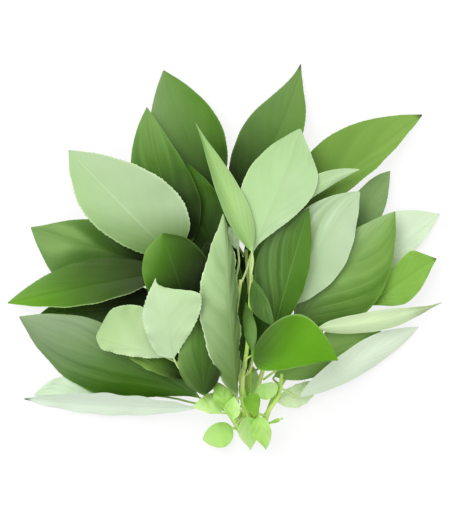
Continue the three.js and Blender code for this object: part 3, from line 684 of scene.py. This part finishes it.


# What a leaf looks like, over the usual look: its lightness (tone), what the tip adds to it (tip) and the
# right half adds (lean), how dark the painted shade makes it towards the stem, where the leaves above shade
# it (shade), and how far up (reach, and slant to the right), yellower or bluer (warmth), duller (grey, with
# greyLean to the right, greyTip at the tip), bands (streaks), pale side veins (veins) that slope by sweep,
# both on one half only if half is minus or plus one, pale midrib (rib), a painted highlight along the margin
# (rim, on one side only by rimHalf), olive tip (ripe), withered tip (burn).
usualLook = {
    "tone": 0.0, "tip": 0.2, "lean": 0.0, "shade": 0.9, "reach": 0.6, "slant": 0.0, "warmth": 0.0,
    "grey": 0.1, "greyLean": 0.0, "greyTip": 0.0, "streaks": 0.06, "veins": 0.04, "sweep": 0.45,
    "half": 0.0, "rib": 0.1, "rim": 0.3, "rimHalf": 0.0, "ripe": 0.0, "burn": 0.0,
}
leafLooks = {
    "leaf_top_right": ("leafUpper", {
        "tone": 0.14, "reach": 0.62, "grey": 0.16, "greyLean": -0.15, "greyTip": 0.1, "veins": 0.0,
        "burn": 0.9}),
    # The grey of its left half and tip is painted sheen.
    "leaf_top_left": ("leafUpper", {
        "tone": 0.05, "tip": 0.28, "lean": -0.12, "reach": 0.68, "grey": 0.2, "greyLean": -0.3,
        "greyTip": 0.1, "veins": 0.0, "rib": 0.0}),
    "leaf_behind_crown": ("leafUpper", {
        "tone": -0.4, "reach": 0.95, "warmth": 0.1, "grey": 0.0, "streaks": 0.2}),
    "leaf_upper_left": ("leafUpper", {
        "tone": -0.4, "tip": 0.85, "reach": 0.68, "slant": 0.05, "grey": 0.05, "greyTip": 0.15,
        "streaks": 0.2, "veins": 0.0, "sweep": 0.9}),
    "leaf_left": ("leafUpper", {
        "tone": 0.09, "tip": 0.37, "lean": 0.05, "shade": 1.0, "reach": 0.72, "grey": 0.05,
        "greyTip": 0.3, "streaks": 0.4, "sweep": 0.35}),
    "leaf_bright_left": ("leafBright", {
        "tone": -0.31, "tip": 0.52, "lean": -0.05, "shade": 1.0, "reach": 1.15, "slant": -0.12,
        "warmth": 0.15, "greyLean": 0.35, "streaks": 0.15, "veins": 0.0, "sweep": 0.9, "rim": 1.0,
        "rimHalf": -1.0}),
    "leaf_pale_left": ("leafUnder", {
        "tone": -0.25, "tip": 0.1, "shade": 1.0, "reach": 0.5, "slant": -0.3, "grey": 0.3,
        "greyLean": 0.3, "streaks": 0.0, "veins": 0.0, "rib": 0.2, "rim": 0.4}),
    # leaf_shadow_left, leaf_shadow_centre, leaf_shadow_slot and leaf_back_left lie low in the middle of the
    # bunch; their dark tone is painted shade, where the leaves above shade them.
    "leaf_shadow_left": ("leafUpper", {
        "tone": -0.75, "tip": 0.45, "reach": 1.0, "warmth": 0.2, "grey": 0.0}),
    # Its dark right half and base are painted shade from the leaves over it.
    "leaf_inner_left": ("leafUpper", {
        "tone": -0.9, "tip": 0.95, "lean": -0.5, "shade": 1.0, "reach": 1.15, "slant": 0.45,
        "grey": 0.0, "veins": 0.0}),
    "leaf_shadow_centre": ("leafUpper", {"tone": -0.9, "tip": 0.0, "reach": 1.0}),
    "leaf_shadow_slot": ("leafUpper", {"tone": -0.2, "shade": 0.5, "reach": 1.0, "grey": 0.3}),
    "leaf_back_left": ("leafUpper", {"tone": -0.75, "tip": 0.3, "reach": 1.0}),
    "leaf_back_centre": ("leafUpper", {"tip": 0.3, "lean": 0.5, "shade": 0.3, "reach": 1.0}),
    # Its lighter grey-blue tip and upper half (greyTip, grey, lean) are painted sheen.
    "leaf_lower_left": ("leafUpper", {
        "tone": 0.04, "tip": 0.56, "lean": 0.22, "shade": 0.4, "reach": 0.5, "warmth": -0.08,
        "grey": 0.15, "greyLean": 0.25, "greyTip": 1.0, "streaks": 0.2, "veins": 0.0, "sweep": 1.3}),
    "leaf_olive_left": ("leafUpper", {
        "tone": 0.1, "tip": 0.4, "lean": -0.3, "shade": 1.0, "warmth": 0.25, "streaks": 0.3,
        "sweep": 1.3}),
    "leaf_pale_curled": ("leafUnder", {
        "tone": 0.2, "tip": -0.32, "lean": -0.1, "shade": 0.0, "warmth": 0.1, "veins": 0.0}),
    "leaf_pale_upright": ("leafUnder", {
        "tone": 0.22, "tip": 0.0, "lean": -0.1, "shade": 0.0, "warmth": 0.02, "veins": 0.0, "rim": 0.4}),
    # Its darker right half (lean) is painted shade under leaf_front_long.
    "leaf_dark_inner": ("leafUpper", {
        "tone": -0.15, "tip": 0.1, "lean": -0.68, "shade": 0.5, "reach": 0.8, "grey": 0.2,
        "streaks": 0.12, "veins": 0.0, "sweep": 1.2}),
    "leaf_floor_far_left": ("leafUnder", {"tone": 0.6, "tip": 0.3, "shade": 0.1, "warmth": -0.1}),
    "leaf_floor_left": ("leafUnder", {
        "tone": 1.0, "shade": 0.0, "warmth": -0.12, "grey": 0.0, "burn": 1.0}),
    # Its darker right half towards the base (lean, shade, slant) is painted shade.
    "leaf_front_long": ("leafUnder", {
        "tone": -0.7, "tip": 0.34, "lean": -0.34, "shade": 0.8, "reach": 0.75, "slant": 0.45,
        "warmth": 0.03, "streaks": 0.4, "sweep": 0.2, "rim": 0.8}),
    "leaf_crown_narrow": ("leafYoung", {
        "tone": 0.04, "tip": -0.45, "lean": 0.3, "shade": 0.25, "reach": 0.35, "grey": 0.25,
        "streaks": 0.0, "veins": 0.0, "rib": 0.05}),
    "leaf_crown_broad": ("leafUnder", {
        "tone": 0.1, "tip": -0.15, "lean": 0.12, "shade": 0.1, "reach": 0.4, "warmth": -0.03,
        "grey": 0.0, "veins": 0.0}),
    "leaf_crown_right": ("leafUnder", {"shade": 0.0, "grey": 0.0, "veins": 0.0}),
    "leaf_upper_right": ("leafUpper", {
        "tone": 0.45, "tip": 0.32, "shade": 0.3, "reach": 0.42, "warmth": 0.2, "grey": 0.0,
        "streaks": 0.12, "burn": 0.9}),
    "leaf_small_right": ("leafUpper", {
        "tone": 0.5, "tip": 0.15, "lean": -0.05, "shade": 0.3, "grey": 0.5}),
    "leaf_far_right": ("leafUnder", {
        "tone": 0.75, "tip": -0.1, "shade": 0.0, "grey": 0.0, "veins": 0.0}),
    "leaf_bright_right": ("leafBright", {
        "tone": 0.58, "tip": 0.06, "shade": 0.0, "warmth": 0.07, "grey": 0.18, "burn": 0.7}),
    "leaf_broad_right": ("leafUpper", {
        "tone": 0.58, "tip": 0.3, "lean": -0.45, "shade": 0.5, "reach": 0.38, "slant": 0.2,
        "warmth": -0.04, "grey": 0.2, "greyLean": -0.4, "streaks": 0.2, "veins": 0.3, "sweep": 0.55,
        "rim": 0.8}),
    "leaf_pale_right": ("leafUnder", {
        "tip": 0.1, "lean": 0.1, "shade": 0.0, "grey": 0.5, "streaks": 0.35, "veins": 0.1, "sweep": 0.9,
        "half": -1.0}),
    "leaf_striped_right": ("leafUpper", {
        "tip": 0.1, "shade": 0.35, "reach": 0.55, "grey": 0.12, "greyLean": -0.42, "streaks": 0.45,
        "veins": 0.12, "sweep": 0.9, "half": -1.0, "rib": 0.3}),
    "leaf_thin_right": ("leafPale", {
        "tone": 0.85, "tip": 0.05, "lean": -0.1, "shade": 0.0, "warmth": -0.03, "grey": 0.0,
        "veins": 0.0, "rib": 0.0, "ripe": 0.4}),
    "leaf_shadow_right": ("leafUpper", {"tone": 0.9, "tip": 0.4, "shade": 0.0, "warmth": 0.05}),
    "leaf_floor_right": ("leafUnder", {
        "tone": 0.88, "tip": 0.0, "shade": 0.0, "warmth": -0.05, "grey": 0.0, "veins": 0.0, "rib": 0.0}),
    "leaf_floor_inner_right": ("leafPale", {
        "tone": 1.3, "shade": 0.0, "warmth": 0.02, "grey": 0.0, "veins": 0.0}),
    # Its dark upper left corner (shade, slant) is painted shade from the leaves above.
    "leaf_bright_front": ("leafBright", {
        "tone": -0.05, "tip": 0.05, "lean": -0.1, "shade": 0.75, "reach": 0.48, "slant": -0.35,
        "warmth": 0.1, "grey": 0.0, "streaks": 0.0, "veins": 0.0, "rib": 0.0, "rim": 0.4}),
    "leaf_slim_centre": ("leafUpper", {
        "tone": -0.06, "lean": -0.2, "shade": 0.0, "grey": 0.35, "streaks": 0.2}),
    "leaf_slim_folded": ("leafUpper", {
        "tone": 0.25, "tip": -0.4, "lean": 0.35, "shade": 0.0, "grey": 0.25, "veins": 0.0}),
    "bud_leaf_centre": ("leafUnder", {"tone": 0.2, "shade": 0.2, "veins": 0.0, "rim": 0.6}),
    "leaflet_bottom_left": ("leafShoot", {
        "tone": 0.05, "tip": 0.1, "shade": 0.0, "warmth": -0.05, "grey": 0.2, "rib": 0.25}),
    "leaflet_cut_left": ("leafShoot", {
        "tone": 0.25, "lean": 0.25, "shade": 0.0, "warmth": -0.15, "grey": 0.0, "streaks": 0.25,
        "rib": 0.35}),
    "leaflet_cut_right": ("leafShoot", {
        "tone": 0.1, "tip": 0.0, "lean": -0.2, "shade": 0.0, "warmth": -0.1, "grey": 0.0,
        "streaks": 0.25, "rib": 0.35}),
    "leaflet_cut_side": ("leafShoot", {"tone": -0.3, "shade": 0.0}),
    "leaflet_kite": ("leafShoot", {
        "tone": 0.1, "lean": 0.4, "shade": 0.0, "grey": 0.15, "streaks": 0.3, "rib": 0.5, "rim": 0.8}),
    "leaflet_dark": ("leafBright", {"tone": 0.5, "shade": 0.0, "warmth": 0.1, "grey": 0.0}),
    "leaflet_round": ("leafShoot", {
        "tone": 0.3, "shade": 0.0, "warmth": -0.2, "grey": 0.0, "rib": 0.25}),
    "leaflet_wedge": ("leafShoot", {
        "tone": 0.35, "lean": -0.4, "shade": 0.1, "streaks": 0.3, "rib": 0.4, "rim": 0.6}),
    "leaflet_wedge_inner": ("leafShoot", {
        "tone": -0.2, "tip": -0.3, "shade": 0.1, "streaks": 0.35, "rib": 0.4}),
    "leaflet_table_left": ("leafShoot", {"tone": 0.1, "shade": 0.2, "warmth": 0.1, "streaks": 0.3}),
    "leaflet_table_centre": ("leafShoot", {
        "tone": 0.6, "shade": 0.0, "warmth": -0.1, "grey": 0.0, "streaks": 0.3}),
}
calm = {"Tooth Depth": 0.0, "Ripple": 0.0001, "Undulation": 0.0005, "Crease": 0.0001}
leafletQuilt = 0.0001
leafSizes = {  # what single leaves change of the blade's sizes
    "leaf_slim_centre": calm,
    "leaf_slim_folded": calm,
    "bud_leaf_centre": calm,
    "leaf_thin_right": calm,
    "leaf_floor_right": calm,
    "leaf_crown_narrow": calm,
    "leaf_crown_right": calm,
    "leaf_bright_front": calm,
    "leaf_pale_left": {"Tooth Depth": 0.0009, "Teeth": 38.0, "Rib Rise": 0.0},
    "leaf_pale_upright": {"Tooth Depth": 0.0009, "Teeth": 22.0},
    "leaf_pale_curled": {"Tooth Depth": 0.0006, "Teeth": 22.0},
    "leaf_front_long": {"Tooth Depth": 0.0007, "Teeth": 20.0, "Ripple": 0.0012, "Quilt": 0.0005},
    "leaf_floor_far_left": {"Tooth Depth": 0.0007},
    "leaf_broad_right": {"Quilt": 0.0004},
    "leaf_pale_right": {"Quilt": 0.0003},
}

otherSide = {
    "leafUpper": "leafUnder", "leafBright": "leafUnder", "leafUnder": "leafUpper", "leafPale": "leafUpper",
    "leafYoung": "leafYoung", "leafShoot": "leafShoot",
}
slots = {
    "leafUpper": "leaf_upper", "leafBright": "leaf_bright", "leafYoung": "leaf_young",
    "leafUnder": "leaf_under", "leafPale": "leaf_under", "leafShoot": "shoot",
}


def leafSettings(nodeName, finish, seed):
    small = {**calm, "Quilt": leafletQuilt} if nodeName.startswith("leaflet") else {}
    return {
        **bladeSizes, **small, **leafSizes.get(nodeName, {}), "Seed": float(seed),
        "Upper Side": -1.0 if slots[finish] == "leaf_under" else 1.0, "Top Finish": materials[finish],
        "Under Finish": materials[otherSide[finish]], "Rib Finish": materials[finish],
    }


def growLeaf(nodeName, finish, changes, tree, seed):
    mesh = leafSkeleton(nodeName, {**usualLook, **changes, "seed": seed})
    piece = grow("fresh_" + nodeName, mesh, tree, leafSettings(nodeName, finish, seed))
    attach(piece, "root")
    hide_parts(nodeName)
    return piece


blade = bladeTree()
triangles = 0
for seed, (nodeName, (finish, changes)) in enumerate(leafLooks.items()):
    leaf = growLeaf(nodeName, finish, changes, blade, seed)
    triangles += sum(len(p.vertices) - 2 for p in leaf.data.polygons)
print("leaves grown:", len(leafLooks), "with", triangles, "triangles")


stemSizes = {"Steps": 70, "Sides": 14, "Ridge": 0.00012}
ridgeScale = 260.0


def stemTree():
    inputs = [
        ("Geometry", "NodeSocketGeometry", None), ("Steps", "NodeSocketInt", stemSizes["Steps"]),
        ("Sides", "NodeSocketInt", stemSizes["Sides"]), ("Ridge", "NodeSocketFloat", stemSizes["Ridge"]),
        ("Skin", "NodeSocketMaterial", None),
    ]
    tree, given, out = newTree("stemShaft", "GeometryNodeTree", inputs, [("Geometry", "NodeSocketGeometry")])
    curve = addNode(tree, "GeometryNodeMeshToCurve", {"Mesh": given["Geometry"]}).outputs[0]
    spline = addNode(tree, "GeometryNodeCurveSplineType", {"Curve": curve}, spline_type="CATMULL_ROM")
    even = addNode(tree, "GeometryNodeResampleCurve", {"Curve": spline.outputs[0], "Count": given["Steps"]})
    plain = tube(tree, even.outputs[0], named(tree, "width"), given["Sides"])
    grain = noise(tree, {"Scale": ridgeScale, "Detail": 1.0})
    push = times(tree, calc(tree, "SUBTRACT", grain, 0.5), given["Ridge"], 2.0)
    normal = addNode(tree, "GeometryNodeInputNormal").outputs["Normal"]
    ridged = moved(tree, plain, scaled(tree, normal, push))
    smooth = addNode(tree, "GeometryNodeSetShadeSmooth", {"Geometry": ridged}).outputs[0]
    done = addNode(tree, "GeometryNodeRealizeInstances", {"Geometry": smooth}).outputs[0]
    skinned = addNode(tree, "GeometryNodeSetMaterial", {"Geometry": done, "Material": given["Skin"]})
    tree.links.new(skinned.outputs[0], out.inputs[0])
    return tree


def growStem(nodeName, tree):
    rings = nodeRings(nodeName)[0]
    centres = [tuple(ring.mean(axis=0)) for ring in rings]
    mesh = bpy.data.meshes.new(nodeName + "_path")
    mesh.from_pydata(centres, [(i, i + 1) for i in range(len(centres) - 1)], [])
    setAttribute(mesh, "width", "FLOAT", [ringReach(ring) for ring in rings])
    piece = grow("fresh_" + nodeName, mesh, tree, {**stemSizes, "Skin": materials["stemSkin"]})
    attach(piece, "root")
    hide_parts(nodeName)


shaft = stemTree()
stemNames = sorted(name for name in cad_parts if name.startswith("stem_"))
for nodeName in stemNames:
    growStem(nodeName, shaft)
print("stems grown:", len(stemNames))


studio = {
    "tableSize": 6.0, "tableGlow": 0.8, "tableShade": 0.22, "tableBounce": 0.8,
    "skyStrength": 0.68, "lampPower": 9.5, "lampSize": 0.9, "lampAt": (-0.45, 0.5, 1.2),
    "cameraHeight": 2.0, "aimRight": 0.0101, "aimUp": 0.0005, "lens": 198.6, "sensor": 36.0,
}


def seenDirectly(tree):  # by the camera, or in a gloss or through something clear
    path = tree.nodes.new("ShaderNodeLightPath").outputs
    gloss = calc(tree, "MAXIMUM", path["Is Glossy Ray"], path["Is Transmission Ray"])
    return calc(tree, "MAXIMUM", path["Is Camera Ray"], gloss)


def greyDiffuse(tree, level):
    return addNode(tree, "ShaderNodeBsdfDiffuse", {"Color": (level, level, level, 1)}).outputs[0]


def tableMaterial():  # to the eye a white glow that still takes a shadow, to the leaves a pale table
    material, tree = freshMaterial("paleTable")[:2]
    tree.nodes.remove(tree.nodes["Principled BSDF"])
    glow = addNode(tree, "ShaderNodeEmission", {"Color": (1, 1, 1, 1), "Strength": studio["tableGlow"]})
    shown = addNode(tree, "ShaderNodeAddShader", {
        0: glow.outputs[0], 1: greyDiffuse(tree, studio["tableShade"])})
    mix = addNode(tree, "ShaderNodeMixShader", {
        0: seenDirectly(tree), 1: greyDiffuse(tree, studio["tableBounce"]), 2: shown.outputs[0]})
    tree.links.new(mix.outputs[0], tree.nodes["Material Output"].inputs["Surface"])
    return material


def layTable():
    half = studio["tableSize"] / 2
    level = cadBox[0][2]
    corners = [(-half, -half, level), (half, -half, level), (half, half, level), (-half, half, level)]
    mesh = bpy.data.meshes.new("table")
    mesh.from_pydata(corners, [], [(0, 1, 2, 3)])
    mesh.materials.append(tableMaterial())
    table = bpy.data.objects.new("table", mesh)
    bpy.context.scene.collection.objects.link(table)


def lightStudio():
    world = bpy.data.worlds.new("studioSky")
    world.use_nodes = True
    bpy.context.scene.world = world
    tree = world.node_tree
    strength = ramp(tree, seenDirectly(tree), 0.0, 1.0, studio["skyStrength"], 1.0)
    background = tree.nodes["Background"]
    background.inputs["Color"].default_value = (1, 1, 1, 1)
    tree.links.new(strength, background.inputs["Strength"])
    lamp = bpy.data.objects.new("softLamp", bpy.data.lights.new("softLamp", "AREA"))
    lamp.data.energy = studio["lampPower"]
    lamp.data.size = studio["lampSize"]
    lamp.location = studio["lampAt"]
    lamp.rotation_euler = (-Vector(studio["lampAt"])).to_track_quat("-Z", "Y").to_euler()
    bpy.context.scene.collection.objects.link(lamp)


def placeCamera():
    low, high = cadBox
    camera = bpy.data.objects.new("camera", bpy.data.cameras.new("camera"))
    camera.data.sensor_fit = "HORIZONTAL"
    camera.data.sensor_width = studio["sensor"]
    camera.data.lens = studio["lens"]
    camera.location.x = (low[0] + high[0]) / 2 + studio["aimRight"]
    camera.location.y = (low[1] + high[1]) / 2 + studio["aimUp"]
    camera.location.z = low[2] + studio["cameraHeight"]
    bpy.context.scene.collection.objects.link(camera)
    bpy.context.scene.camera = camera


layTable()
lightStudio()
placeCamera()
bpy.context.scene.view_settings.view_transform = "Standard"
print("table, light and camera placed")
